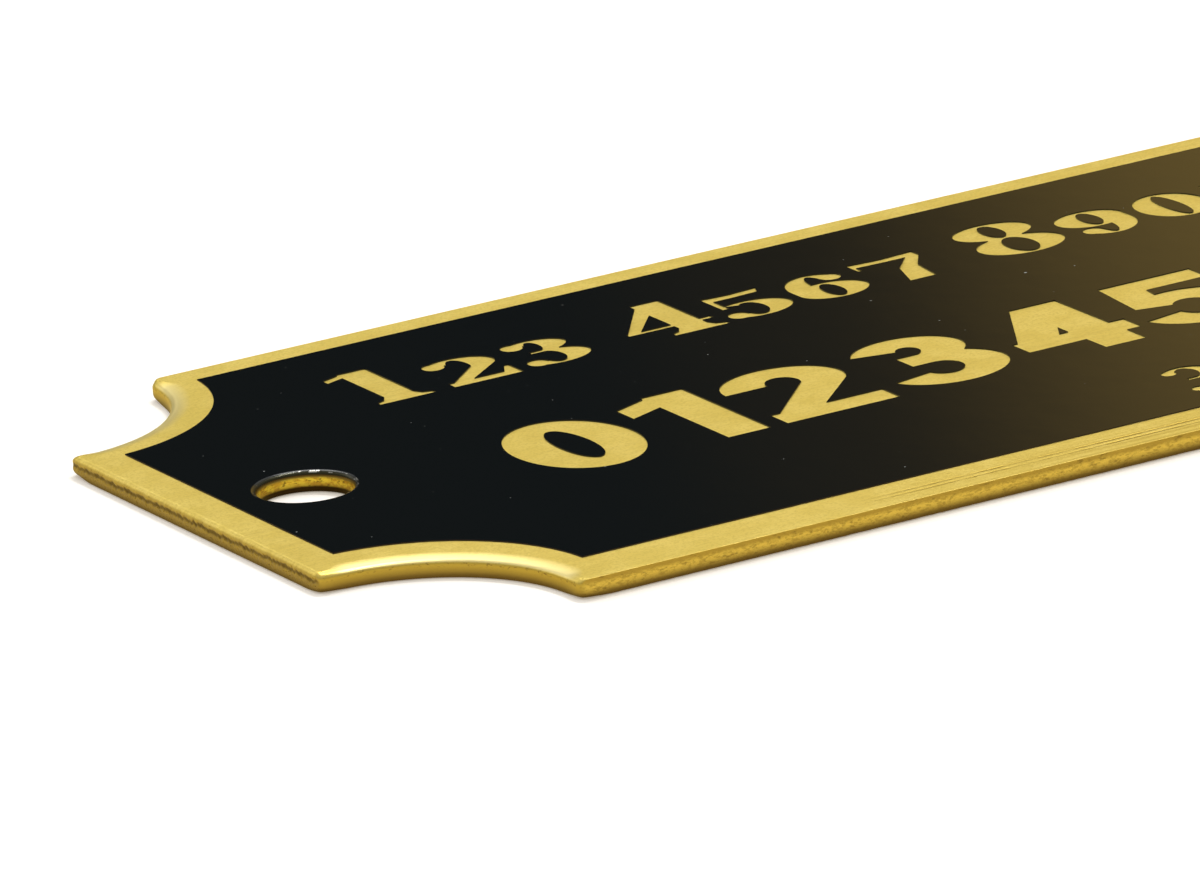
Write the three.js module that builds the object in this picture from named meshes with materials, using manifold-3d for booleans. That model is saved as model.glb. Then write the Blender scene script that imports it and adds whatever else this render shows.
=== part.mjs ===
// A brass name plate: a thin rectangular blank with a round notch punched out of each corner and a screw hole near
// each end, and a black enamel panel baked onto its face inside a bare brass border.
// Millimetres. The origin is the middle of the back face, +X runs along the plate, +Y up the panel, +Z out of the face.
import * as THREE from "three";
import { mergeVertices } from "three/addons/utils/BufferGeometryUtils.js";
import Module from "manifold-3d";

// The brass blank. It is sheared from strip of its own width, then punched.
const PLATE_LENGTH = 63.5;
const PLATE_WIDTH = 22.225;
const PLATE_THICKNESS = 0.508;
// Each notch is an arc whose centre lies this far in from both the end and the long edge.
const NOTCH_RADIUS = 4.2;
const NOTCH_INSET = 0.39;
const HOLE_DIAMETER = 2.44;
const HOLE_INSET = 3.23;
// The punch draws the face down into a small round edge at the ends, the notches and the holes.
const EDGE_ROLL = 0.17;
// The notches and holes sit a little above the middle of the strip.
const PUNCH_SHIFT = 0.2;

// The enamel panel, with notches of its own, printed a little higher still
const END_BORDER = 1.1;
const SIDE_BORDER = 1.24;
const PANEL_NOTCH_RADIUS = 4.8;
const PANEL_NOTCH_END_INSET = 0.76;
const PANEL_NOTCH_SIDE_INSET = 0.9;
const ENAMEL_THICKNESS = 0.03;
const PRINT_SHIFT = 0.33;

// How finely the round stretches are cut
const NOTCH_STEPS = 20;
const HOLE_STEPS = 40;
const ROLL_STEPS = 3;

const halfLength = PLATE_LENGTH / 2;
const halfWidth = PLATE_WIDTH / 2;
const holeCentreX = halfLength - HOLE_INSET;
const holeRadius = HOLE_DIAMETER / 2;

const wasm = await Module();
wasm.setup();

// The points of one notch, from the end edge to the long edge, in the corner where x and y are positive.
function notchPoints(endX, edgeY, radius, endInset, sideInset) {
  const centreX = halfLength - endInset;
  const centreY = halfWidth - sideInset;
  const fromEnd = -Math.acos((endX - centreX) / radius);
  const toEdge = -Math.PI - Math.asin((edgeY - centreY) / radius);
  const points = [];
  for (let step = 0; step <= NOTCH_STEPS; step++) {
    const angle = fromEnd + ((toEdge - fromEnd) * step) / NOTCH_STEPS;
    points.push(new THREE.Vector2(centreX + radius * Math.cos(angle), centreY + radius * Math.sin(angle)));
  }
  return points;
}

// A rectangle with that notch in each corner and a round opening near each end.
function notchedShape(corner, openingRadius, openingY) {
  const backwards = [...corner].reverse();
  const place = (points, signX, signY) => points.map((p) => new THREE.Vector2(signX * p.x, signY * p.y));
  const shape = new THREE.Shape([
    ...place(corner, 1, 1),
    ...place(backwards, -1, 1),
    ...place(corner, -1, -1),
    ...place(backwards, 1, -1),
  ]);
  for (const side of [-1, 1]) {
    const hole = new THREE.Path();
    hole.absarc(side * holeCentreX, openingY, openingRadius, 0, 2 * Math.PI, true);
    shape.holes.push(hole);
  }
  return shape;
}

// A closed three.js geometry as a manifold-3d solid, and back again.
function toSolid(geometry) {
  const bare = geometry.clone();
  bare.deleteAttribute("normal");
  bare.deleteAttribute("uv");
  const merged = mergeVertices(bare, 1e-5);
  return new wasm.Manifold(
    new wasm.Mesh({
      numProp: 3,
      vertProperties: merged.attributes.position.array,
      triVerts: new Uint32Array(merged.index.array),
    }),
  );
}

function toGeometry(solid) {
  const mesh = solid.getMesh();
  const geometry = new THREE.BufferGeometry();
  geometry.setAttribute("position", new THREE.BufferAttribute(mesh.vertProperties, 3));
  geometry.setIndex(new THREE.BufferAttribute(mesh.triVerts, 1));
  geometry.computeVertexNormals();
  return geometry;
}

// The punched form is rounded at all of its edges and wider than the strip, and only what lies inside the strip is
// kept: sharp long edges and a sharp edge round the back.
function brassPlateGeometry() {
  const pastStrip = halfWidth + PUNCH_SHIFT + 2 * EDGE_ROLL;
  const punched = new THREE.ExtrudeGeometry(
    notchedShape(notchPoints(halfLength, pastStrip, NOTCH_RADIUS, NOTCH_INSET, NOTCH_INSET), holeRadius, 0),
    {
      depth: PLATE_THICKNESS - EDGE_ROLL,
      curveSegments: HOLE_STEPS,
      bevelSize: EDGE_ROLL,
      bevelThickness: EDGE_ROLL,
      bevelOffset: -EDGE_ROLL,
      bevelSegments: ROLL_STEPS,
    },
  );
  punched.translate(0, PUNCH_SHIFT, 0);
  const strip = new THREE.BoxGeometry(2 * PLATE_LENGTH, PLATE_WIDTH, 2 * PLATE_THICKNESS);
  strip.translate(0, 0, PLATE_THICKNESS);
  return toGeometry(toSolid(punched).intersect(toSolid(strip)));
}

// The enamel: a thin coat on the face, which stops where the face rolls down into each hole.
function enamelPanelGeometry() {
  const corner = notchPoints(
    halfLength - END_BORDER,
    halfWidth - SIDE_BORDER,
    PANEL_NOTCH_RADIUS,
    PANEL_NOTCH_END_INSET,
    PANEL_NOTCH_SIDE_INSET,
  );
  const outline = notchedShape(corner, holeRadius + EDGE_ROLL, PUNCH_SHIFT - PRINT_SHIFT);
  const coat = new THREE.ExtrudeGeometry(outline, {
    depth: ENAMEL_THICKNESS,
    curveSegments: HOLE_STEPS,
    bevelEnabled: false,
  });
  coat.translate(0, PRINT_SHIFT, 0);
  return coat;
}

const brass = new THREE.MeshStandardMaterial({ color: 0xdcc267, roughness: 0.38, metalness: 1 });
const enamel = new THREE.MeshStandardMaterial({ color: 0x0d1012, roughness: 0.12, metalness: 0 });

const brassPlate = new THREE.Mesh(brassPlateGeometry(), brass);
brassPlate.name = "brass_plate";

const enamelPanel = new THREE.Mesh(enamelPanelGeometry(), enamel);
enamelPanel.name = "enamel_panel";
enamelPanel.position.z = PLATE_THICKNESS;

const namePlate = new THREE.Group();
namePlate.add(brassPlate, enamelPanel);

export default namePlate;
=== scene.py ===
# A brass name plate with a black enamel panel, lying on a white table.
# Sizes are written in millimetres and used in metres.
# The numerals left bare in the enamel are plain numbers.
import math

import bmesh
import bpy
from mathutils import Matrix, Vector, noise


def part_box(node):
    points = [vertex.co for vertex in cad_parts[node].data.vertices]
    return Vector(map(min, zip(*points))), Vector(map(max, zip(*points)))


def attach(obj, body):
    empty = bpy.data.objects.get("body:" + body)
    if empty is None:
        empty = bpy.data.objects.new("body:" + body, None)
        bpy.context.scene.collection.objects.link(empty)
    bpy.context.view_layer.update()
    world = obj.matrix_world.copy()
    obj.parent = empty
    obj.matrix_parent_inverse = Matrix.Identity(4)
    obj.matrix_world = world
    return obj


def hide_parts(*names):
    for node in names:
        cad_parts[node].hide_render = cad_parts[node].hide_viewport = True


MM = 0.001

# The blank, as it is in the solids
NOTCH_RADIUS = 4.2 * MM
NOTCH_INSET = 0.39 * MM
HOLE_RADIUS = 1.22 * MM
HOLE_INSET = 3.23 * MM
EDGE_ROLL = 0.17 * MM
PUNCH_SHIFT = 0.2 * MM

# The enamel panel, as it is in the solids
PANEL_NOTCH_RADIUS = 4.8 * MM
PANEL_NOTCH_END_INSET = 0.76 * MM
PANEL_NOTCH_SIDE_INSET = 0.9 * MM

# The tips between the notches and the edges, and the worn foot under them
TIP_ROUNDING = 0.34 * MM
TIP_SMOOTHING = 22
SHARP_TURN = 0.35
CORNER_BLEND = 0.3 * TIP_ROUNDING
CRISP_ROLL = 0.008 * MM
FOOT_ROLL = 0.035 * MM
TIP_FOOT_ROLL = 0.2 * MM
TIP_REACH = 0.9 * MM

# The tear along a punched end. Its height and wander are shares of the thickness, and its fade is a
# number of its widths. The waves are the shares and sizes that its wander is made of.
TEAR_HEIGHT = 0.6
TEAR_WANDER = 0.1
TEAR_WAVES = ((0.6, 1.9 * MM), (0.4, 0.5 * MM), (0.9, 0.1 * MM))
TEAR_DEPTH = 0.04 * MM
TEAR_WIDTH = 0.06 * MM
TEAR_GRAIN = 0.31 * MM
TEAR_EVEN = 0.7
TEAR_UNEVEN = 0.8
TEAR_FADE = 3.6
TORN_GRAIN = 0.09 * MM
TORN_SHARE = 0.4

# The granular sheared side, which is smooth near the face
SHEAR_ROUGHNESS = 0.011 * MM
SHEAR_GRAIN = 0.16 * MM
FINE_SHEAR_GRAIN = 0.07 * MM
FINE_SHEAR_SHARE = 0.6
SHEAR_SMOOTH = 0.85

# How the face is drawn down towards a notch, less so beside a tip, and the highlight painted along the
# drawn edge
DRAW_REACH = 0.3 * MM
DRAW_DROP = 0.046 * MM
DRAW_RINGS = 8
DRAWN_TURN = 0.8
DRAW_START = 0.7 * TIP_ROUNDING
TIP_DROP = 0.4
HIGHLIGHT_FROM = 0.78
HIGHLIGHT_TO = 0.93

# The heights on a hole's wall between which the shadow painted under the film's rim comes in
RIM_SHADOW_LOW = 0.36 * MM
RIM_SHADOW_HIGH = 0.42 * MM

# How far the film bends over a hole's rim, and how it sits in the brass
RIM_WRAP = math.radians(52)
FILM_SINK = 0.002 * MM
FILM_START = -0.15
FILM_FULL = 0.25
RIM_RINGS = 10

# How finely the edges are divided
END_STEP = 0.05 * MM
SIDE_STEP = 0.09 * MM
NOTCH_STEPS = 110
HOLE_STEPS = 128
FOOT_RINGS = 3
WALL_RINGS = 15
ROLL_RINGS = 8
FLAT_RING = 0.06 * MM
MERGE_DISTANCE = 1e-7

# The turn past which an edge is shaded as a crease
BRASS_CREASE = math.radians(55)
FILM_CREASE = math.radians(40)
PLAIN_CREASE = math.radians(30)

# The numerals' pens: broad on the way down, thin across, and for romans the ball and the foot
HEAVY_PEN = {"broad": 1.22 * MM, "thin": 0.88 * MM, "ball": 0, "foot": 0}
TALL_PEN = {"broad": 0.84 * MM, "thin": 0.17 * MM, "ball": 0.4 * MM, "foot": 0.8 * MM}
LOW_PEN = {"broad": 0.74 * MM, "thin": 0.17 * MM, "ball": 0.3 * MM, "foot": 0.66 * MM}
SMALL_PEN = {"broad": 0.4 * MM, "thin": 0.15 * MM, "ball": 0.2 * MM, "foot": 0.5 * MM}
ARC_STEP = 6
BALL_STEP = 15
CUT_DEPTH = 0.2 * MM

# A one is narrower than the other numerals, and the bowl of a six or nine takes this share of its height
HEAVY_ONE = 0.66
ROMAN_ONE = 0.85
SIX_BOWL = 0.32

# The numerals' sizes: width, height and pen
HEAVY = (3.35 * MM, 4.43 * MM, HEAVY_PEN)
TALL = (2.5 * MM, 3.08 * MM, TALL_PEN)
LOW = (2.0 * MM, 2.3 * MM, LOW_PEN)
SMALL = (1.5 * MM, 2.25 * MM, SMALL_PEN)

# Each line: its words, left end and baseline, the gap in a word, the gap between words,
# and the sizes of a word's first numeral and of the rest
NUMERAL_LINES = (
    ("123 4567 8901234 56789", -24.0 * MM, 4.95 * MM, 0.3 * MM, 1.25 * MM, TALL, LOW),
    ("0123456 78901", -23.4 * MM, -3.6 * MM, 0.5 * MM, 2.2 * MM, HEAVY, HEAVY),
    ("345 678 90", -7.85 * MM, -8.6 * MM, 0.2 * MM, 1.0 * MM, SMALL, SMALL),
)

# The camera, found from the plate's outline in the photograph
CAMERA_TARGET = Vector((-21.066, -1.518, 0.523)) * MM
CAMERA_DISTANCE = 306.05 * MM
CAMERA_AZIMUTH = math.radians(-28.776)
CAMERA_ELEVATION = math.radians(17.089)
CAMERA_ROLL = math.radians(-4.239)
CAMERA_LENS = 368.39
CAMERA_SENSOR = 36.0
CAMERA_NEAR = 0.01

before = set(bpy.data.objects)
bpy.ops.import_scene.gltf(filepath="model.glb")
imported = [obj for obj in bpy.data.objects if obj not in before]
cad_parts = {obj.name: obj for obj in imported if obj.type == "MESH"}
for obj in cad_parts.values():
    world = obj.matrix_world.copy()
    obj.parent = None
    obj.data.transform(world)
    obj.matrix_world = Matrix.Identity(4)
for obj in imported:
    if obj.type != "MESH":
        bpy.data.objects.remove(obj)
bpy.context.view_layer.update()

plate_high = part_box("brass_plate")[1]
panel_low, panel_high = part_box("enamel_panel")
HALF_LENGTH = plate_high.x
HALF_WIDTH = plate_high.y
THICKNESS = plate_high.z
HOLE_X = HALF_LENGTH - HOLE_INSET
PANEL_TOP = panel_high.z
FILM = PANEL_TOP - THICKNESS
PANEL_HALF_LENGTH = panel_high.x
PANEL_HALF_WIDTH = (panel_high.y - panel_low.y) / 2
PRINT_SHIFT = (panel_high.y + panel_low.y) / 2


def smooth_step(low, high, value):
    share = min(1.0, max(0.0, (value - low) / (high - low)))
    return share * share * (3 - 2 * share)


def grain(point, size):
    """Smooth noise with waves of about this size, between minus one and one."""
    return noise.noise(point / size)


# Outlines


def notched_wire(bm, half_x, half_y, radius, end_inset, side_inset, shift):
    """A closed wire: a rectangle with a round notch in each corner."""
    centre = Vector((HALF_LENGTH - end_inset, HALF_WIDTH - side_inset, 0))
    start = -math.acos((half_x - centre.x) / radius)
    stop = -math.pi - math.asin((half_y - centre.y) / radius)
    first = bm.verts.new(centre + radius * Vector((math.cos(start), math.sin(start), 0)))
    spun = bmesh.ops.spin(
        bm, geom=[first], cent=centre, axis=(0, 0, 1), angle=stop - start, steps=NOTCH_STEPS
    )
    last = [v for v in spun["geom_last"] if isinstance(v, bmesh.types.BMVert)][0]
    bm.edges.new((bm.verts.new((half_x, 0, 0)), first))
    bm.edges.new((last, bm.verts.new((0, half_y, 0))))
    for axis in "XY":
        bmesh.ops.mirror(bm, geom=bm.verts[:] + bm.edges[:], axis=axis, merge_dist=MERGE_DISTANCE)
    bmesh.ops.translate(bm, verts=bm.verts[:], vec=(0, shift, 0))


def bare_wire(bm):
    """Leaves the edges and takes the faces away."""
    bmesh.ops.delete(bm, geom=bm.faces[:], context="FACES_ONLY")


def divide_long_edges(bm):
    for edge in bm.edges[:]:
        along = edge.verts[0].co - edge.verts[1].co
        step = END_STEP if abs(along.y) > abs(along.x) else SIDE_STEP
        if along.length > 2 * step:
            bmesh.ops.subdivide_edges(bm, edges=[edge], cuts=int(along.length / step))


def round_tips(bm, reach):
    """Smooths the outline near each sharp turn."""
    tips = []
    for vert in bm.verts:
        before, after = [e.other_vert(vert).co - vert.co for e in vert.link_edges]
        if before.angle(-after) > SHARP_TURN:
            tips.append(vert.co.copy())
    near = [v for v in bm.verts if any((v.co - tip).length < reach for tip in tips)]
    for _ in range(TIP_SMOOTHING):
        bmesh.ops.smooth_vert(bm, verts=near, factor=0.5, use_axis_x=True, use_axis_y=True)


def add_hole_wires(bm, radius):
    """Circles round the two screw holes."""
    for side in (-1, 1):
        place = Matrix.Translation((side * HOLE_X, PUNCH_SHIFT, 0))
        bmesh.ops.create_circle(bm, cap_ends=False, radius=radius, segments=HOLE_STEPS, matrix=place)


def mark_outward(bm, layer):
    """Stores on each vertex of the outline the level direction that points out of the material."""
    face = bmesh.ops.contextual_create(bm, geom=bm.edges[:])["faces"][0]
    turn = 1 if face.normal.z > 0 else -1
    for loop in face.loops:
        along = (loop.link_loop_next.vert.co - loop.link_loop_prev.vert.co).normalized()
        loop.vert[layer] = Vector((along.y, -along.x, 0)) * turn
    bare_wire(bm)


def mark_holes(bm, layer):
    """Stores the same for the holes, whose vertices have no direction yet: towards the hole's middle."""
    for vert in bm.verts:
        if vert[layer].length == 0:
            centre = Vector((math.copysign(HOLE_X, vert.co.x), PUNCH_SHIFT, 0))
            vert[layer] = (centre - vert.co).normalized()


def raise_ring(bm, edges, place):
    """Extrudes closed wires and puts each new vertex where place says."""
    made = bmesh.ops.extrude_edge_only(bm, edges=edges)["geom"]
    for vert in [g for g in made if isinstance(g, bmesh.types.BMVert)]:
        vert.co = place(vert)
    return [g for g in made if isinstance(g, bmesh.types.BMEdge)]


def finished_object(bm, name, material, crease):
    """Turns the bmesh into a smooth-shaded object, with a sharp edge where it turns past the crease."""
    bmesh.ops.recalc_face_normals(bm, faces=bm.faces[:])
    mesh = bpy.data.meshes.new(name)
    bm.to_mesh(mesh)
    bm.free()
    for polygon in mesh.polygons:
        polygon.use_smooth = True
    mesh.set_sharp_from_angle(angle=crease)
    mesh.materials.append(material)
    piece = bpy.data.objects.new(name, mesh)
    bpy.context.scene.collection.objects.link(piece)
    return piece


# The brass blank


def roll_inset(height, roll):
    """How far in a wall has come at a height, where a round edge leads to the face."""
    rise = max(0.0, height - (THICKNESS - roll))
    return roll - math.sqrt(max(0.0, roll * roll - rise * rise))


def foot_inset(height, roll):
    """How far in a wall still is at a height, where a round edge leads up from the back."""
    drop = max(0.0, roll - height)
    return roll - math.sqrt(max(0.0, roll * roll - drop * drop))


def tear_line(start):
    """The height at which the punched wall stops being smooth and tears, which wanders along the edge."""
    level = Vector((start.x, start.y, 0))
    wander = 0
    for share, size in TEAR_WAVES:
        wander += share * grain(level, size)
    return (TEAR_HEIGHT + TEAR_WANDER * wander) * THICKNESS


def outline_shares(bm, layers):
    """Marks each vertex of the outline with how much of each kind of edge it belongs to."""
    end_tip = Vector((HALF_LENGTH, HALF_WIDTH - NOTCH_INSET - NOTCH_RADIUS, 0))
    side_tip = Vector((HALF_LENGTH - NOTCH_INSET - NOTCH_RADIUS, HALF_WIDTH, 0))
    out, bore, drawn, spread, worn, sheared, torn = layers
    for vert in bm.verts:
        folded = Vector((abs(vert.co.x), abs(vert.co.y), 0))
        from_end = HALF_LENGTH - folded.x
        from_side = HALF_WIDTH - folded.y
        turned = abs(vert[out].y) if from_end < from_side else abs(vert[out].x)
        vert[drawn] = smooth_step(0, DRAWN_TURN, turned) * (1 - vert[bore])
        vert[spread] = smooth_step(0, 2 * DRAW_REACH, min(from_end, from_side) - DRAW_START)
        from_tip = min((folded - end_tip).length, (folded - side_tip).length)
        vert[worn] = 1 - smooth_step(0, TIP_REACH, from_tip)
        vert[sheared] = smooth_step(HALF_WIDTH - CORNER_BLEND, HALF_WIDTH, folded.y)
        vert[torn] = smooth_step(HALF_LENGTH - CORNER_BLEND, HALF_LENGTH, folded.x)


def wall_heights():
    """The heights of the rings of a wall, close together at its foot and where it rolls over."""
    wall_top = THICKNESS - EDGE_ROLL
    foot = [FOOT_ROLL * k / FOOT_RINGS for k in range(FOOT_RINGS + 1)]
    upright = [FOOT_ROLL + (wall_top - FOOT_ROLL) * k / WALL_RINGS for k in range(1, WALL_RINGS + 1)]
    quarter = math.pi / 2
    rolled = [wall_top + EDGE_ROLL * math.sin(quarter * k / ROLL_RINGS) for k in range(1, ROLL_RINGS + 1)]
    return foot + upright + rolled


def make_blank(material):
    """The brass blank: rolled and torn punched ends, rolled notches and holes, and sheared long edges.

    The layers out and foot hold a vertex's way out of the brass and its place in the outline. Torn,
    sheared and bore say which kind of wall it is on. Drawn, spread and worn say how near it is to a notch
    or a tip, and the rest what its wall is like at its own height, with a highlight painted along the
    notches and a shadow painted under the film at the top of a hole.
    """
    bm = bmesh.new()
    out = bm.verts.layers.float_vector.new("out")
    foot = bm.verts.layers.float_vector.new("foot")
    torn = bm.verts.layers.float.new("torn")
    sheared = bm.verts.layers.float.new("sheared")
    crack = bm.verts.layers.float.new("crack")
    below = bm.verts.layers.float.new("below")
    wall = bm.verts.layers.float.new("wall")
    bore = bm.verts.layers.float.new("bore")
    rim_shadow = bm.verts.layers.float.new("rim_shadow")
    drawn = bm.verts.layers.float.new("drawn")
    spread = bm.verts.layers.float.new("spread")
    worn = bm.verts.layers.float.new("worn")
    painted_highlight = bm.verts.layers.float.new("painted_highlight")
    past_strip = HALF_WIDTH + 2 * PUNCH_SHIFT
    notched_wire(bm, HALF_LENGTH, past_strip, NOTCH_RADIUS, NOTCH_INSET, NOTCH_INSET, PUNCH_SHIFT)
    bmesh.ops.contextual_create(bm, geom=bm.edges[:])
    for side in (-1, 1):
        bmesh.ops.bisect_plane(
            bm,
            geom=bm.verts[:] + bm.edges[:] + bm.faces[:],
            plane_co=(0, side * HALF_WIDTH, 0),
            plane_no=(0, side, 0),
            clear_outer=True,
        )
    bare_wire(bm)
    divide_long_edges(bm)
    round_tips(bm, TIP_ROUNDING)
    mark_outward(bm, out)
    add_hole_wires(bm, HOLE_RADIUS)
    for vert in bm.verts:
        vert[bore] = 1 if vert[out].length == 0 else 0
        vert[foot] = vert.co
    mark_holes(bm, out)
    outline_shares(bm, (out, bore, drawn, spread, worn, sheared, torn))
    wall_top = THICKNESS - EDGE_ROLL

    def full_drop(vert):
        """How far the face is drawn down at this vertex's edge."""
        return vert[drawn] * (TIP_DROP + (1 - TIP_DROP) * vert[spread]) * DRAW_DROP

    def wall_point(vert, height):
        """On the wall at a height, with the wall's wear, tear and roughness, and the highlight and shadow
        painted on it.
        """
        start = vert[foot]
        here = Vector((start.x, start.y, height))
        roll = CRISP_ROLL + (EDGE_ROLL - CRISP_ROLL) * (1 - vert[sheared])
        foot_roll = FOOT_ROLL + vert[worn] * (TIP_FOOT_ROLL - FOOT_ROLL)
        off = (height - tear_line(start)) / TEAR_WIDTH
        depth = TEAR_EVEN + TEAR_UNEVEN * abs(grain(start, TEAR_GRAIN))
        groove = vert[torn] * math.exp(-off * off) * depth
        vert[crack] = groove
        vert[below] = vert[torn] * (1 - smooth_step(0, TEAR_FADE, off))
        vert[wall] = 1 - smooth_step(THICKNESS - roll, THICKNESS, height)
        # A shadow painted under the film at the top of a hole's wall
        vert[rim_shadow] = vert[bore] * smooth_step(RIM_SHADOW_LOW, RIM_SHADOW_HIGH, height)
        # A highlight painted high on the wall along a notch
        highlight_height = smooth_step(HIGHLIGHT_FROM * THICKNESS, HIGHLIGHT_TO * THICKNESS, height)
        vert[painted_highlight] = vert[drawn] * vert[spread] * highlight_height
        rough = SHEAR_ROUGHNESS * (1 + grain(here, SHEAR_GRAIN))
        rough += FINE_SHEAR_SHARE * SHEAR_ROUGHNESS * grain(here, FINE_SHEAR_GRAIN)
        fade = 1 - smooth_step(SHEAR_SMOOTH * THICKNESS, THICKNESS, height)
        inset = roll_inset(height, roll) + foot_inset(height, foot_roll)
        inset += groove * TEAR_DEPTH + vert[sheared] * fade * max(0.0, rough)
        inset += vert[below] * TORN_SHARE * SHEAR_ROUGHNESS * (1 + grain(here, TORN_GRAIN))
        drop = full_drop(vert) * smooth_step(wall_top, THICKNESS, height)
        return start - vert[out] * inset + Vector((0, 0, height - drop))

    def face_point(vert, share):
        """On the face, where it is drawn down a little towards a notch."""
        vert[rim_shadow] = 0
        # A highlight painted on the face along a notch, fading inwards
        vert[painted_highlight] = vert[drawn] * vert[spread] * (1 - share)
        reach = EDGE_ROLL * (1 - vert[sheared]) + CRISP_ROLL * vert[sheared]
        reach += share * (FLAT_RING + vert[drawn] * vert[spread] * DRAW_REACH)
        drop = full_drop(vert) * (1 - share) ** 2
        return vert[foot] - vert[out] * reach + Vector((0, 0, THICKNESS - drop))

    outline = bm.edges[:]
    for vert in bm.verts:
        vert.co = wall_point(vert, 0)
    ring = outline
    for height in wall_heights()[1:]:
        ring = raise_ring(bm, ring, lambda vert: wall_point(vert, height))
    for step in range(1, DRAW_RINGS + 1):
        ring = raise_ring(bm, ring, lambda vert: face_point(vert, step / DRAW_RINGS))
    bmesh.ops.triangle_fill(bm, edges=ring, use_beauty=False, use_dissolve=False, normal=(0, 0, 1))
    bmesh.ops.triangle_fill(bm, edges=outline, use_beauty=False, use_dissolve=False, normal=(0, 0, 1))
    return finished_object(bm, "brass_blank", material, BRASS_CREASE)


# The enamel film


def make_film(material):
    """The enamel coat: a film which bends down over the rolled rims of the holes."""
    bm = bmesh.new()
    out = bm.verts.layers.float_vector.new("out")
    foot = bm.verts.layers.float_vector.new("foot")
    hole = bm.verts.layers.float.new("hole")
    rim = bm.verts.layers.float.new("rim")
    edge = bm.verts.layers.float.new("edge")
    notched_wire(
        bm,
        PANEL_HALF_LENGTH,
        PANEL_HALF_WIDTH,
        PANEL_NOTCH_RADIUS,
        PANEL_NOTCH_END_INSET,
        PANEL_NOTCH_SIDE_INSET,
        PRINT_SHIFT,
    )
    mark_outward(bm, out)
    add_hole_wires(bm, HOLE_RADIUS + EDGE_ROLL)
    for vert in bm.verts:
        vert[hole] = 1 if vert[out].length == 0 else 0
    mark_holes(bm, out)
    for vert in bm.verts:
        vert[foot] = vert.co
    roll_centre = THICKNESS - EDGE_ROLL

    def film_point(vert, share, turn, lift):
        """A place on the coat's skin, by the share of the way up its edge, turn round a rim and lift."""
        vert[rim] = vert[hole] * turn / RIM_WRAP
        vert[edge] = (1 - vert[hole]) * (share < 1)
        if vert[hole] > 0.5:
            reach = EDGE_ROLL + lift
            height = roll_centre + reach * math.cos(turn)
            return vert[foot] + vert[out] * reach * math.sin(turn) + Vector((0, 0, height))
        if lift < 0:
            return vert[foot] + Vector((0, 0, THICKNESS + lift))
        return vert[foot] + Vector((0, 0, THICKNESS + FILM * share))

    start = bm.edges[:]
    for vert in bm.verts:
        vert.co = film_point(vert, 0, 0, -FILM_SINK)
    ring = start
    for step in range(1, RIM_RINGS + 1):
        turn = RIM_WRAP * step / RIM_RINGS
        ring = raise_ring(bm, ring, lambda vert: film_point(vert, 0, turn, -FILM_SINK))
    for step in range(RIM_RINGS + 1):
        share = step / RIM_RINGS
        turn = RIM_WRAP * (1 - share)
        lift = FILM * smooth_step(FILM_START, FILM_FULL, share)
        ring = raise_ring(bm, ring, lambda vert: film_point(vert, share, turn, lift))
    ring = raise_ring(bm, ring, lambda vert: vert.co - vert[out] * FLAT_RING)
    bmesh.ops.triangle_fill(bm, edges=ring, use_beauty=False, use_dissolve=False, normal=(0, 0, 1))
    bmesh.ops.triangle_fill(bm, edges=start, use_beauty=False, use_dissolve=False, normal=(0, 0, 1))
    bmesh.ops.remove_doubles(bm, verts=bm.verts[:], dist=MERGE_DISTANCE)
    return finished_object(bm, "enamel_film", material, FILM_CREASE)


# The numerals. A stroke is a row of pairs of points, one on each of its sides. Its numbers are shares of
# the numeral's width, of its height and of its pen's broad and thin strokes.


def bowl(cx, cy, rx, ry, start, stop, pen):
    """A part of an oval stroke, between an outer ellipse and an inner one."""
    steps = max(6, int(abs(stop - start) / ARC_STEP))
    stroke = []
    for k in range(steps + 1):
        turn = math.radians(start + (stop - start) * k / steps)
        across = math.cos(turn)
        up = math.sin(turn)
        outer = (cx + rx * across, cy + ry * up)
        inner = (cx + (rx - pen["broad"]) * across, cy + (ry - pen["thin"]) * up)
        stroke.append((outer, inner))
    return stroke


def bowl_heights(high, thin):
    """Half the height of the lower bowl and of the upper one, where they share a thin stroke."""
    low = (high + thin) / 4 + 0.02 * high
    return low, (high + thin) / 2 - low


def bar(x0, x1, y, thick, rise=0.0):
    """A level stroke, or one that rises a little to the right."""
    return [((x0, y + thick), (x0, y)), ((x1, y + thick + rise), (x1, y + rise))]


def slant(*cuts):
    """A stroke cut level at each of its turns. A cut is a left end, a height and a width."""
    return [((x, y), (x + width, y)) for x, y, width in cuts]


def ball(pair, radius):
    """A round end inside the outer side of a stroke that ends in this pair."""
    outer = Vector(pair[0])
    centre = outer + (Vector(pair[1]) - outer).normalized() * radius
    stroke = []
    for k in range(180 // BALL_STEP + 1):
        turn = math.radians(BALL_STEP * k)
        x = centre.x + radius * math.cos(turn)
        half = radius * math.sin(turn)
        stroke.append(((x, centre.y + half), (x, centre.y - half)))
    return stroke


def slab(x, pen):
    """The foot of an upright in a roman numeral, with its brackets."""
    broad, thin, reach = pen["broad"], pen["thin"], pen["foot"]
    half = broad / 2 + 0.35 * (reach - broad / 2)
    return slant(
        (x - reach, 0, 2 * reach),
        (x - reach, thin, 2 * reach),
        (x - half, thin + 0.12 * broad, 2 * half),
        (x - broad / 2, thin + 0.4 * broad, broad),
    )


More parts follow.
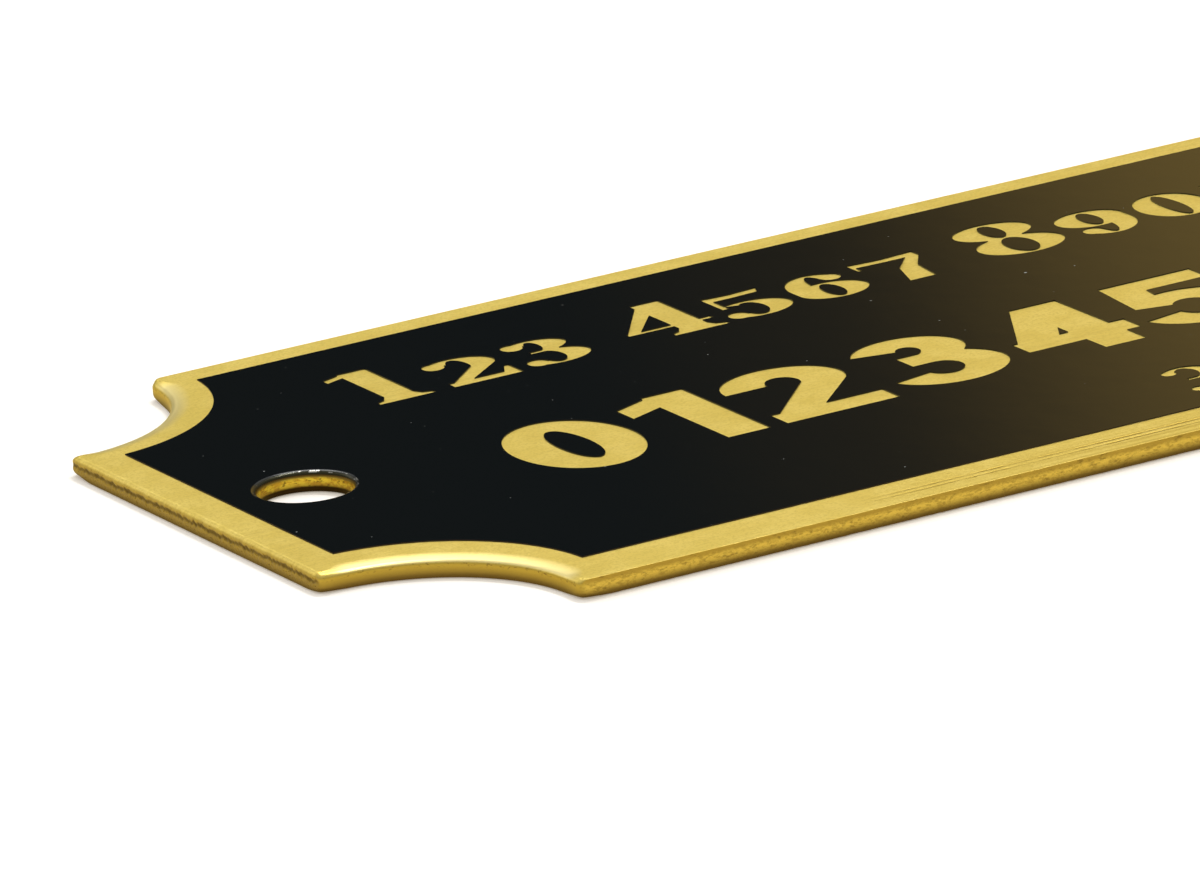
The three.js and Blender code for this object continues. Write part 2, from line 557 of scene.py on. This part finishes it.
def heavy_numeral(digit, wide, high, pen):
    """The strokes of a heavy numeral without feet or balls, from its lower left corner."""
    broad, thin = pen["broad"], pen["thin"]
    low, top = bowl_heights(high, thin)
    middle = wide / 2
    if digit == "0":
        return [bowl(middle, high / 2, middle, high / 2, 0, 360, pen)]
    if digit == "1":
        flag = bar(0, wide - 0.7 * broad, high - 1.62 * thin, thin, 0.62 * thin)
        return [slant((wide - broad, 0, broad), (wide - broad, high, broad)), flag]
    if digit == "2":
        hook = bowl(middle, 0.69 * high, middle, 0.31 * high, 180, -28, pen)
        tail = [((1.28 * broad, 0.9 * thin), (0, 0.62 * thin))]
        return [hook + tail, bar(0, 0.98 * wide, 0, thin)]
    if digit == "3":
        upper = bowl(0.48 * wide, high - top, 0.46 * wide, top, 160, -90, pen)
        lower = bowl(0.48 * wide, low, 0.52 * wide, low, 90, -165, pen)
        return [upper, lower, bar(0.3 * wide, 0.48 * wide, 2 * low - thin, thin)]
    if digit == "4":
        x = 0.87 * wide - broad
        y = 0.21 * high
        side = slant((x - 0.12 * broad, high, 1.02 * broad), (0, y + 0.6 * thin, 1.02 * broad))
        return [slant((x, 0, broad), (x, high, broad)), bar(0, wide, y, thin), side]
    if digit == "5":
        rise = low + 0.03 * high
        lower = bowl(0.46 * wide, rise, 0.54 * wide, rise, 140, -165, pen)
        side = [
            ((0.11 * wide, high), (0.11 * wide + 0.86 * broad, high)),
            ((0.04 * wide, 0.5 * high), (0.04 * wide + 0.8 * broad, 0.44 * high)),
        ]
        return [bar(0.11 * wide, 0.94 * wide, high - thin, thin), side, lower]
    if digit == "6":
        sweep = bowl(middle, high / 2, middle, high / 2, 38, 180, pen)
        sweep += slant((0, SIX_BOWL * high, broad))
        return [sweep, bowl(middle, SIX_BOWL * high, middle, SIX_BOWL * high, 0, 360, pen)]
    if digit == "7":
        leg = slant(
            (wide - 1.2 * broad, high - thin, 1.2 * broad),
            (0.42 * wide, 0.45 * high, 1.08 * broad),
            (0.24 * wide, 0, 1.08 * broad),
        )
        return [bar(0, wide, high - thin, thin), leg]
    if digit == "8":
        upper = bowl(middle, high - top, 0.45 * wide, top, 0, 360, pen)
        return [upper, bowl(middle, low, middle, low, 0, 360, pen)]
    return half_turned(heavy_numeral("6", wide, high, pen), wide, high)


def roman_numeral(digit, wide, high, pen):
    """The strokes of a roman numeral, with feet and balls, from its lower left corner."""
    broad, thin, dot = pen["broad"], pen["thin"], pen["ball"]
    low, top = bowl_heights(high, thin)
    middle = wide / 2
    if digit in "08":
        return heavy_numeral(digit, wide, high, pen)
    if digit == "1":
        x = (wide - broad) / 2
        flag = bar(0.06 * wide, x + 0.3 * broad, high - 0.64 * broad, 0.34 * broad, 0.3 * broad)
        return [slant((x, 0, broad), (x, high, broad)), flag, slab(middle, pen)]
    if digit == "2":
        base = 0.16 * high
        hook = bowl(middle, 0.7 * high, middle, 0.3 * high, 152, -28, pen)
        neck = [((0.34 * wide, 0.8 * base), (0, 0.5 * base))]
        tail = slant(
            (wide - 0.5 * broad, 0.9 * base, 0.5 * broad),
            (wide - 0.16 * broad, 2.2 * base, 0.16 * broad),
        )
        return [hook + neck, bar(0, wide, 0, base), tail, ball(hook[0], dot)]
    if digit == "3":
        upper = bowl(0.48 * wide, high - top, 0.46 * wide, top, 150, -90, pen)
        lower = bowl(0.48 * wide, low, 0.52 * wide, low, 90, -150, pen)
        waist = bar(0.3 * wide, 0.48 * wide, 2 * low - thin, thin)
        return [upper, lower, waist, ball(upper[0], dot), ball(lower[-1], dot)]
    if digit == "4":
        x = 0.87 * wide - broad
        y = 0.24 * high
        upright = slant((x, 0, broad), (x, high, broad))
        side = slant((x + 0.25 * broad, high, 0.73 * broad), (0, y + 0.5 * thin, 2.2 * thin))
        return [upright, bar(0, wide, y, 1.15 * thin), side, slab(x + broad / 2, pen)]
    if digit == "5":
        rise = low + 0.03 * high
        lower = bowl(0.46 * wide, rise, 0.54 * wide, rise, 125, -150, pen)
        flag = [
            ((0.1 * wide, high), (0.1 * wide, 0.83 * high)),
            ((0.5 * wide, 0.97 * high), (0.5 * wide, 0.83 * high)),
            ((0.93 * wide, high), (0.86 * wide, 0.85 * high)),
        ]
        side = slant((0.1 * wide, high, 1.1 * thin), (0.1 * wide, 0.48 * high, 1.1 * thin))
        return [flag, side, lower, ball(lower[-1], dot)]
    if digit == "6":
        sweep = bowl(middle, high / 2, middle, high / 2, 36, 180, pen)
        sweep += slant((0, SIX_BOWL * high, broad))
        lower = bowl(middle, SIX_BOWL * high, middle, SIX_BOWL * high, 0, 360, pen)
        return [sweep, lower, ball(sweep[0], dot)]
    if digit == "7":
        thick = 0.17 * high
        flag = [
            ((0, high), (0, high - 0.9 * thick)),
            ((0.5 * wide, 0.96 * high), (0.5 * wide, high - thick)),
            ((wide, high), (wide, high - thick)),
        ]
        tail = slant((0, high, 0.7 * thin), (0, high - 1.7 * thick, 0.7 * thin))
        leg = slant(
            (wide - 0.55 * broad, high - thick, 0.55 * broad),
            (0.48 * wide, 0.5 * high, 0.75 * broad),
            (0.3 * wide, 0, 1.05 * broad),
        )
        return [flag, tail, leg]
    return half_turned(roman_numeral("6", wide, high, pen), wide, high)


def half_turned(strokes, wide, high):
    """The same strokes turned half round, which makes a six a nine."""
    turned = []
    for stroke in strokes:
        turned.append([((wide - a[0], high - a[1]), (wide - c[0], high - c[1])) for a, c in stroke])
    return turned


def add_stroke(bm, corner, stroke):
    """Pulls an edge through the stroke's pairs."""
    pairs = [[corner + Vector((x, y, 0)) for x, y in pair] for pair in stroke]
    edge = bm.edges.new([bm.verts.new(place) for place in pairs[0]])
    for pair in pairs[1:]:
        sides = edge.verts[:]
        made = bmesh.ops.extrude_edge_only(bm, edges=[edge])["geom"]
        edge = [g for g in made if isinstance(g, bmesh.types.BMEdge)][0]
        if edge.verts[0].co != sides[0].co:
            pair = pair[::-1]
        edge.verts[0].co = pair[0]
        edge.verts[1].co = pair[1]


def add_line(bm, words, left, baseline, gap, word_gap, first_size, rest_size):
    """One line of numerals. The numerals whose pen has no ball are heavy ones."""
    x = left
    for word in words.split():
        for place, digit in enumerate(word):
            width, height, pen = first_size if place == 0 else rest_size
            heavy = pen["ball"] == 0
            if digit == "1":
                width *= HEAVY_ONE if heavy else ROMAN_ONE
            numeral = heavy_numeral if heavy else roman_numeral
            for stroke in numeral(digit, width, height, pen):
                add_stroke(bm, Vector((x, baseline, 0)), stroke)
            x += width + gap
        x += word_gap - gap


def cut_numerals(film):
    """Leaves the brass bare through the film where the numerals are."""
    bm = bmesh.new()
    for line in NUMERAL_LINES:
        add_line(bm, *line)
    bmesh.ops.translate(bm, verts=bm.verts[:], vec=(0, 0, THICKNESS - CUT_DEPTH))
    made = bmesh.ops.extrude_face_region(bm, geom=bm.faces[:])["geom"]
    risen = [g for g in made if isinstance(g, bmesh.types.BMVert)]
    bmesh.ops.translate(bm, verts=risen, vec=(0, 0, 2 * CUT_DEPTH))
    cutter = finished_object(bm, "numeral_cutter", film.data.materials[0], PLAIN_CREASE)
    cut = film.modifiers.new("numerals", "BOOLEAN")
    cut.operation = "DIFFERENCE"
    cut.solver = "EXACT"
    cut.use_self = True
    cut.object = cutter
    bpy.context.view_layer.update()
    graph = bpy.context.evaluated_depsgraph_get()
    mesh = bpy.data.meshes.new_from_object(film.evaluated_get(graph))
    film.modifiers.clear()
    film.data = mesh
    mesh.set_sharp_from_angle(angle=FILM_CREASE)
    bpy.data.objects.remove(cutter)


# Materials


class Nodes:
    """Short calls for a material's or the world's nodes."""

    def __init__(self, owner):
        owner.use_nodes = True
        self.tree = owner.node_tree
        self.tree.nodes.clear()

    def add(self, kind, **values):
        node = self.tree.nodes.new(kind)
        for key, value in values.items():
            setattr(node, key, value)
        return node

    def put(self, value, socket):
        """Links a socket's output, or sets a plain value."""
        if isinstance(value, bpy.types.NodeSocket):
            self.tree.links.new(value, socket)
        else:
            socket.default_value = value

    def math(self, operation, *values, clamp=False):
        node = self.add("ShaderNodeMath", operation=operation, use_clamp=clamp)
        for value, socket in zip(values, node.inputs):
            self.put(value, socket)
        return node.outputs[0]

    def plus(self, first, second):
        return self.math("ADD", first, second)

    def minus(self, first, second, clamp=False):
        return self.math("SUBTRACT", first, second, clamp=clamp)

    def times(self, first, second, clamp=False):
        return self.math("MULTIPLY", first, second, clamp=clamp)

    def larger(self, first, second):
        return self.math("MAXIMUM", first, second)

    def ramp(self, value, low, high, start=0.0, stop=1.0):
        """A smooth step from start to stop as value goes from low to high."""
        node = self.add("ShaderNodeMapRange", interpolation_type="SMOOTHSTEP")
        for given, socket in zip((value, low, high, start, stop), node.inputs):
            self.put(given, socket)
        return node.outputs["Result"]

    def mix(self, share, first, second):
        node = self.add("ShaderNodeMix", data_type="RGBA")
        sockets = (node.inputs[0], node.inputs[6], node.inputs[7])
        for given, socket in zip((share, first, second), sockets):
            self.put(given, socket)
        return node.outputs[2]

    def place(self, scale=(1, 1, 1)):
        """The object's own coordinates in millimetres, scaled once more along each axis."""
        coordinates = self.add("ShaderNodeTexCoord").outputs["Object"]
        node = self.add("ShaderNodeMapping")
        self.put(coordinates, node.inputs["Vector"])
        node.inputs["Scale"].default_value = [s / MM for s in scale]
        return node.outputs["Vector"]

    def parts(self, vector):
        """The X, Y and Z of a vector."""
        node = self.add("ShaderNodeSeparateXYZ")
        self.put(vector, node.inputs[0])
        return node.outputs

    def noise(self, place, scale, detail=2.0, roughness=0.5):
        node = self.add("ShaderNodeTexNoise")
        self.put(place, node.inputs["Vector"])
        node.inputs["Scale"].default_value = scale
        node.inputs["Detail"].default_value = detail
        node.inputs["Roughness"].default_value = roughness
        return node.outputs["Fac"]

    def attribute(self, name):
        return self.add("ShaderNodeAttribute", attribute_name=name).outputs["Fac"]

    def bump(self, height, distance, strength, below=None):
        """Relief from a height, on top of the relief below."""
        node = self.add("ShaderNodeBump")
        self.put(height, node.inputs["Height"])
        node.inputs["Distance"].default_value = distance
        self.put(strength, node.inputs["Strength"])
        if below is not None:
            self.put(below, node.inputs["Normal"])
        return node.outputs["Normal"]

    def coat(self, colour, rough, metallic, relief):
        """The one shader of a piece, joined to the output."""
        shader = self.add("ShaderNodeBsdfPrincipled")
        self.put(colour, shader.inputs["Base Color"])
        self.put(rough, shader.inputs["Roughness"])
        self.put(metallic, shader.inputs["Metallic"])
        self.put(relief, shader.inputs["Normal"])
        self.finish(shader.outputs[0])
        return shader

    def finish(self, surface, kind="ShaderNodeOutputMaterial"):
        output = self.add(kind)
        self.put(surface, output.inputs["Surface"])


# The brass, by where it is
FACE_BRASS = (0.8, 0.625, 0.16, 1)
PALE_BRASS = (0.83, 0.66, 0.19, 1)
GRAIN_BRASS = (0.7, 0.535, 0.12, 1)
STREAK_BRASS = (0.64, 0.47, 0.1, 1)
# A paler brass that paints the highlight along the notches
PAINTED_HIGHLIGHT_BRASS = (0.86, 0.73, 0.33, 1)
BRASS_EDGE_TINT = (1, 0.94, 0.62, 1)
SIDE_BRASS = (0.76, 0.53, 0.08, 1)
DULL_SIDE_BRASS = (0.44, 0.285, 0.04, 1)
PUNCHED_BRASS = (0.5, 0.335, 0.042, 1)
TORN_BRASS = (0.36, 0.24, 0.06, 1)
BORE_BRASS = (0.62, 0.36, 0.03, 1)
BRIGHT_BORE_BRASS = (0.86, 0.62, 0.05, 1)
# Dark brown for pits and specks, and for painted shadow and shade
PIT_AND_SHADE_BROWN = (0.1, 0.055, 0.012, 1)
# A dark burr, partly painted shade, at the foot of a hole's wall
BURR_AND_SHADE_BROWN = (0.035, 0.018, 0.004, 1)
# The shade painted at the foot of every wall
FOOT_SHADE_BROWN = (0.17, 0.1, 0.02, 1)

# The enamel, its edges and the dust on it
ENAMEL_BLACK = (0.0062, 0.0088, 0.0102, 1)
ENAMEL_RIM = (0.042, 0.04, 0.02, 1)
WORN_RIM = (0.93, 0.9, 0.8, 1)
INK_EDGE = (0.035, 0.018, 0.004, 1)
DUST = (0.3, 0.32, 0.3, 1)

# A double line scored along the lower border, and fine streaks below a height, in millimetres.
# Both fade in from a place along the plate.
SCORE_START = -19.5
SCORE_LINES = (-10.3, -10.52)
SCORE_WIDTH = 0.075
SCORE_FADE_IN = 4
STREAK_FADE_IN = 9
STREAK_TOP = -9.52
STREAK_FADE = 0.1
STREAK_SHARE = 0.8

# Heights on a wall between which a colour comes or goes, in millimetres
SIDE_SHADE = (0.33, 0.47)
WALL_SPECKS = (0.26, 0.34)
# The dark burr and painted shade at a hole's foot fade out between these heights
BURR_AND_SHADE = (0.12, 0.19)
# The shade painted at the foot of every wall, lower on sheared and torn walls
FOOT_SHADE_FROM = 0.06
FOOT_SHADE_TO = 0.39
LOWER_FOOT_SHADE = 0.05
# The darker shade painted at the very heel of every wall, lower on torn ends
HEEL_SHADE_FROM = 0.04
HEEL_SHADE_TO = 0.17
LOWER_HEEL_SHADE = 0.06
UNEVEN = 0.06

# How deep the relief of each pattern is
FINE_RELIEF = 0.005 * MM
STREAK_RELIEF = 0.0018 * MM
SCORE_RELIEF = 0.014 * MM
GRANULE_RELIEF = 0.02 * MM
SKIN_RELIEF = 0.01 * MM
RIPPLE_RELIEF = 0.03 * MM


def scored_lines(n, place):
    """How deep in a scored line a point of the face is."""
    near = n.ramp(place["X"], SCORE_START, SCORE_START + SCORE_FADE_IN)
    lines = []
    for height in SCORE_LINES:
        away = n.math("ABSOLUTE", n.minus(place["Y"], height))
        lines.append(n.ramp(away, 0.0, SCORE_WIDTH, 1.0, 0.0))
    fading = n.ramp(n.noise(n.place((0.9, 1, 1)), 1.0, 3, 0.7), 0.36, 0.56, 0.25, 1.0)
    return n.times(near, n.times(fading, n.larger(*lines)))


def rolled_streaks(n, place):
    """How strongly a point of the face shows the long fine streaks of the lower border."""
    near = n.ramp(place["X"], SCORE_START, SCORE_START + STREAK_FADE_IN)
    low = n.ramp(place["Y"], STREAK_TOP - STREAK_FADE, STREAK_TOP, 1.0, 0.0)
    streaks = n.ramp(n.noise(n.place((0.07, 11, 1)), 1.0, 3, 0.65), 0.46, 0.6)
    return n.times(n.times(near, low), streaks)


def satin_brass():
    """Rolled brass with a fine satin grain, smooth rolled rims, torn ends and granular sheared sides,
    with painted shade low on its walls and a highlight painted along its notches.
    """
    material = bpy.data.materials.new("satin_brass")
    n = Nodes(material)
    place = n.parts(n.place())
    level = place["Z"]
    fine = n.noise(n.place(), 15, 2, 0.55)
    patch = n.noise(n.place(), 1.3, 3)
    streak = n.noise(n.place((0.3, 9, 1)), 1.0, 3, 0.6)
    granule = n.noise(n.place((0.65, 0.8, 1.4)), 13, 3, 0.6)
    pit = n.noise(n.place((0.6, 0.8, 1.4)), 5.5, 3, 0.6)
    uneven_level = n.plus(level, n.times(granule, UNEVEN))
    below = n.attribute("below")
    wall = n.attribute("wall")
    off_wall = n.minus(1.0, wall)
    bore = n.times(n.attribute("bore"), wall)
    torn_end = n.times(n.attribute("torn"), wall)
    side = n.times(n.attribute("sheared"), wall)
    scored = n.times(scored_lines(n, place), off_wall)

    # The face
    face = n.mix(n.ramp(patch, 0.4, 0.65), FACE_BRASS, PALE_BRASS)
    face = n.mix(n.ramp(fine, 0.48, 0.62, 0.0, 0.7), face, GRAIN_BRASS)
    face = n.mix(n.ramp(streak, 0.5, 0.66, 0.0, 0.3), face, GRAIN_BRASS)
    face = n.mix(n.times(rolled_streaks(n, place), STREAK_SHARE), face, STREAK_BRASS)
    face = n.mix(scored, face, DULL_SIDE_BRASS)

    # The walls: punched, bored, sheared and torn
    punched = n.mix(n.ramp(granule, 0.46, 0.62, 0.0, 0.5), PUNCHED_BRASS, DULL_SIDE_BRASS)
    bored = n.mix(n.ramp(pit, 0.42, 0.58), BORE_BRASS, BRIGHT_BORE_BRASS)
    colour = n.mix(wall, face, n.mix(bore, punched, bored))
    granular = n.mix(n.ramp(granule, 0.45, 0.62, 0.0, 0.65), SIDE_BRASS, DULL_SIDE_BRASS)
    granular = n.mix(n.ramp(uneven_level, *SIDE_SHADE, 0.0, 0.9), granular, DULL_SIDE_BRASS)
    colour = n.mix(side, colour, granular)
    torn = n.mix(n.ramp(granule, 0.4, 0.6), TORN_BRASS, DULL_SIDE_BRASS)
    colour = n.mix(below, colour, torn)

    # Painted shade at the foot of every wall, darker towards the table
    upright = n.ramp(wall, 0.9, 1.0)
    foot_shade_top = n.minus(FOOT_SHADE_TO, n.times(n.plus(side, torn_end), LOWER_FOOT_SHADE))
    foot = n.ramp(uneven_level, FOOT_SHADE_FROM, foot_shade_top, 0.9, 0.0)
    colour = n.mix(n.times(foot, upright), colour, FOOT_SHADE_BROWN)

    # Pits, specks and the crack of the tear, with the shadow painted under a hole's film and the shade
    # painted at each wall's heel
    pits = n.times(side, n.ramp(pit, 0.56, 0.7, 0.0, 0.45))
    pits = n.plus(pits, n.times(bore, n.ramp(granule, 0.54, 0.66, 0.0, 0.7)))
    specked = n.larger(torn_end, n.times(wall, n.ramp(level, *WALL_SPECKS, 0.0, 0.8)))
    specked = n.minus(specked, side, clamp=True)
    specks = n.times(specked, n.ramp(granule, 0.57, 0.67, 0.0, 0.75))
    crack = n.ramp(n.attribute("crack"), 0.1, 0.85, 0.0, 0.85)
    pits_and_shade = n.larger(n.larger(pits, specks), n.larger(crack, n.attribute("rim_shadow")))
    # The darkest shade is painted at the very heel of every wall
    heel_shade_top = n.minus(HEEL_SHADE_TO, n.times(torn_end, LOWER_HEEL_SHADE))
    heel_shade = n.times(n.ramp(level, HEEL_SHADE_FROM, heel_shade_top, 0.45, 0.0), upright)
    colour = n.mix(n.larger(pits_and_shade, heel_shade), colour, PIT_AND_SHADE_BROWN)
    # A dark burr with painted shade at the foot of a hole's wall
    colour = n.mix(n.times(bore, n.ramp(level, *BURR_AND_SHADE, 1.0, 0.0)), colour, BURR_AND_SHADE_BROWN)
    # The highlight painted along the notches
    colour = n.mix(n.attribute("painted_highlight"), colour, PAINTED_HIGHLIGHT_BRASS)

    rough = n.plus(n.plus(0.43, n.times(patch, 0.05)), n.times(side, 0.12))
    relief = n.bump(fine, FINE_RELIEF, 0.8)
    relief = n.bump(streak, STREAK_RELIEF, off_wall, relief)
    relief = n.bump(n.minus(1.0, scored), SCORE_RELIEF, 0.8, relief)
    relief = n.bump(granule, GRANULE_RELIEF, n.plus(side, n.times(below, 0.8)), relief)
    shader = n.coat(colour, rough, 1, relief)
    shader.inputs["Specular Tint"].default_value = BRASS_EDGE_TINT
    return material


def dust_specks(n, spacing, size, share):
    """Small round specks about this many millimetres apart, of which a share is there."""
    cells = n.add("ShaderNodeTexVoronoi", feature="F1")
    n.put(n.place((1 / spacing, 1 / spacing, 1 / spacing)), cells.inputs["Vector"])
    cells.inputs["Scale"].default_value = 1.0
    # The red of a cell's chance colour says whether its speck is there
    there = n.math("LESS_THAN", n.parts(cells.outputs["Color"])["X"], share)
    return n.times(n.ramp(cells.outputs["Distance"], 0.4 * size, size, 1.0, 0.0), there)


def baked_enamel():
    """Glossy black enamel with a faint skin and fine dust.

    It thins to olive over the rims of the holes, where its crest is worn to the metal in places.
    """
    material = bpy.data.materials.new("baked_enamel")
    n = Nodes(material)
    skin = n.noise(n.place(), 0.8, 2)
    ripple = n.noise(n.place(), 4.5, 2, 0.6)
    bend = n.attribute("rim")
    rim = n.ramp(bend, 0.1, 0.8)
    edge = n.attribute("edge")
    dust = n.larger(dust_specks(n, 0.6, 0.05, 0.5), dust_specks(n, 2.1, 0.026, 0.6))
    dust = n.times(dust, n.ramp(n.noise(n.place(), 0.22, 2), 0.45, 0.6, 0.25, 1.0))
    crest = n.times(n.ramp(bend, 0.28, 0.42), n.ramp(bend, 0.62, 0.8, 1.0, 0.0))
    chips = n.noise(n.place((1, 1, 0.2)), 3.2, 3, 0.6)
    worn = n.times(crest, n.ramp(chips, 0.54, 0.6))
    colour = n.mix(rim, ENAMEL_BLACK, ENAMEL_RIM)
    colour = n.mix(edge, colour, INK_EDGE)
    colour = n.mix(dust, colour, DUST)
    colour = n.mix(worn, colour, WORN_RIM)
    rough = n.plus(0.06, n.times(dust, 0.5))
    rough = n.plus(rough, n.times(n.minus(rim, worn), 0.3, clamp=True))
    rough = n.plus(rough, n.times(edge, 0.6))
    relief = n.bump(skin, SKIN_RELIEF, 0.15)
    relief = n.bump(ripple, RIPPLE_RELIEF, n.times(rim, 0.5), relief)
    n.coat(colour, rough, n.larger(worn, rim), relief)
    return material


# The stage

FLOOR_SIZE = 6.0
FLOOR_GAP = 0.02 * MM
FLOOR_LIFT = 0.28
FLOOR_WHITE = (0.93, 0.925, 0.92, 1)
PALE_FLOOR_WHITE = (0.95, 0.945, 0.94, 1)
WARM_WHITE = (1, 0.88, 0.7, 1)

# The card. Its haze and fade are places across it, from its middle.
CARD_BROWN = (0.42, 0.275, 0.06, 1)
CARD_DISTANCE = 0.5
CARD_WIDTH = 0.5
CARD_HEIGHT = 0.14
CARD_SHIFT = 0.15
CARD_HAZE = (-0.152, -0.13)
CARD_HAZE_GLOW = (0.015, 0.1)
CARD_FADE = (-0.134, -0.098)
CARD_LEAN = 0.33

# The room. A turn is how far a direction faces away from the camera, from minus one to one. The room's
# brightness changes between the two turns of a pair, from the first glow to the second.
CEILING_TURN = (-0.1, 0.45)
CEILING_GLOW = (0.66, 0.43)
WALL_TURN = (0.6, 0.88)
WALL_GLOW = (0.6, 0.012)
# The sines of the heights between which the wall becomes the ceiling
CEILING_FROM = math.sin(math.radians(19))
CEILING_TO = math.sin(math.radians(32))

# The lamps: azimuth, elevation, distance, width, depth and brightness
LAMPS = {
    "key_panel": (22, 50, 1.2, 0.5, 0.5, 3.15),
    "left_panel": (-26, 29, 1.2, 0.8, 0.5, 1.3),
    "strip": (58, 65, 0.9, 0.3, 0.04, 66),
}


def make_floor():
    """A white table, lifted to white where the camera or the gloss sees it. It keeps its shadows."""
    material = bpy.data.materials.new("white_table")
    n = Nodes(material)
    paths = n.add("ShaderNodeLightPath").outputs
    seen = n.larger(paths["Is Camera Ray"], paths["Is Glossy Ray"])
    seen = n.larger(seen, paths["Is Transmission Ray"])
    speckle = n.noise(n.place((0.2, 0.2, 0.2)), 1.0, 3)
    diffuse = n.add("ShaderNodeBsdfDiffuse")
    n.put(n.mix(speckle, FLOOR_WHITE, PALE_FLOOR_WHITE), diffuse.inputs["Color"])
    lift = n.add("ShaderNodeEmission")
    lift.inputs["Color"].default_value = WARM_WHITE
    n.put(n.times(seen, FLOOR_LIFT), lift.inputs["Strength"])
    both = n.add("ShaderNodeAddShader")
    n.put(diffuse.outputs[0], both.inputs[0])
    n.put(lift.outputs[0], both.inputs[1])
    n.finish(both.outputs[0])
    bm = bmesh.new()
    bmesh.ops.create_grid(bm, x_segments=8, y_segments=8, size=FLOOR_SIZE / 2)
    bmesh.ops.translate(bm, verts=bm.verts[:], vec=(0, 0, -FLOOR_GAP))
    floor = finished_object(bm, "table", material, PLAIN_CREASE)


def direction(azimuth, elevation):
    """A level turn from +Y towards +X, and a height above the table, in degrees."""
    a = math.radians(azimuth)
    e = math.radians(elevation)
    return Vector((math.sin(a) * math.cos(e), math.cos(a) * math.cos(e), math.sin(e)))


def add_soft_lamp(name, azimuth, elevation, distance, width, depth, brightness):
    """A flat lamp that looks at the plate, with its brightness given as seen from there."""
    data = bpy.data.lights.new(name, "AREA")
    data.shape = "RECTANGLE"
    data.size = width
    data.size_y = depth
    data.energy = brightness * math.pi * width * depth
    lamp = bpy.data.objects.new(name, data)
    towards = direction(azimuth, elevation)
    lamp.location = CAMERA_TARGET + towards * distance
    lamp.rotation_euler = towards.to_track_quat("Z", "Y").to_euler()
    bpy.context.scene.collection.objects.link(lamp)


def make_world():
    """A light room. Low down and straight ahead, where the enamel mirrors it, it is nearly black."""
    world = bpy.data.worlds.new("studio")
    bpy.context.scene.world = world
    n = Nodes(world)
    place = n.parts(n.add("ShaderNodeTexCoord").outputs["Generated"])
    facing = n.times(place["X"], math.sin(-CAMERA_AZIMUTH))
    facing = n.plus(facing, n.times(place["Y"], math.cos(CAMERA_AZIMUTH)))
    high = n.ramp(facing, *CEILING_TURN, *CEILING_GLOW)
    low = n.ramp(facing, *WALL_TURN, *WALL_GLOW)
    glow = n.ramp(place["Z"], CEILING_FROM, CEILING_TO, low, high)
    paths = n.add("ShaderNodeLightPath").outputs
    background = n.add("ShaderNodeBackground")
    background.inputs["Color"].default_value = (1, 1, 1, 1)
    n.put(n.larger(glow, paths["Is Camera Ray"]), background.inputs["Strength"])
    n.finish(background.outputs[0], "ShaderNodeOutputWorld")


def make_card():
    """A dim brown card that the enamel mirrors at its right. It fades in from its left edge."""
    material = bpy.data.materials.new("brown_card")
    n = Nodes(material)
    place = n.parts(n.add("ShaderNodeTexCoord").outputs["Object"])
    glow = n.add("ShaderNodeEmission")
    glow.inputs["Color"].default_value = CARD_BROWN
    across = n.minus(place["X"], n.times(place["Y"], CARD_LEAN))
    faint = n.ramp(across, *CARD_HAZE, *CARD_HAZE_GLOW)
    n.put(n.plus(faint, n.ramp(across, *CARD_FADE)), glow.inputs["Strength"])
    n.finish(glow.outputs[0])
    bm = bmesh.new()
    bmesh.ops.create_grid(bm, x_segments=4, y_segments=4, size=0.5)
    bmesh.ops.scale(bm, verts=bm.verts[:], vec=(CARD_WIDTH, CARD_HEIGHT, 1))
    card = finished_object(bm, "card", material, PLAIN_CREASE)
    towards = direction(-math.degrees(CAMERA_AZIMUTH), math.degrees(CAMERA_ELEVATION))
    right = towards.cross(Vector((0, 0, 1))).normalized()
    turn = Matrix((right, right.cross(towards), -towards)).transposed().to_4x4()
    middle = CAMERA_TARGET + towards * CARD_DISTANCE + right * CARD_SHIFT
    card.matrix_world = Matrix.Translation(middle) @ turn
    card.visible_camera = False
    card.visible_shadow = False


def make_camera():
    """The photograph's camera, turned a little about its own axis."""
    back = Vector(
        (
            math.sin(CAMERA_AZIMUTH) * math.cos(CAMERA_ELEVATION),
            -math.cos(CAMERA_AZIMUTH) * math.cos(CAMERA_ELEVATION),
            math.sin(CAMERA_ELEVATION),
        )
    )
    right = (-back).cross(Vector((0, 0, 1))).normalized()
    up = right.cross(-back)
    rolled_right = right * math.cos(CAMERA_ROLL) + up * math.sin(CAMERA_ROLL)
    rolled_up = up * math.cos(CAMERA_ROLL) - right * math.sin(CAMERA_ROLL)
    data = bpy.data.cameras.new("camera")
    data.lens = CAMERA_LENS
    data.sensor_width = CAMERA_SENSOR
    data.clip_start = CAMERA_NEAR
    camera = bpy.data.objects.new("camera", data)
    bpy.context.scene.collection.objects.link(camera)
    turn = Matrix((rolled_right, rolled_up, back)).transposed().to_4x4()
    camera.matrix_world = Matrix.Translation(CAMERA_TARGET + back * CAMERA_DISTANCE) @ turn
    bpy.context.scene.camera = camera


bpy.context.scene.view_settings.view_transform = "Standard"
make_camera()
make_world()
make_floor()
make_card()
for name, values in LAMPS.items():
    add_soft_lamp(name, *values)

blank = make_blank(satin_brass())
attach(blank, "root")
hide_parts("brass_plate")

film = make_film(baked_enamel())
cut_numerals(film)
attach(film, "root")
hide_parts("enamel_panel")
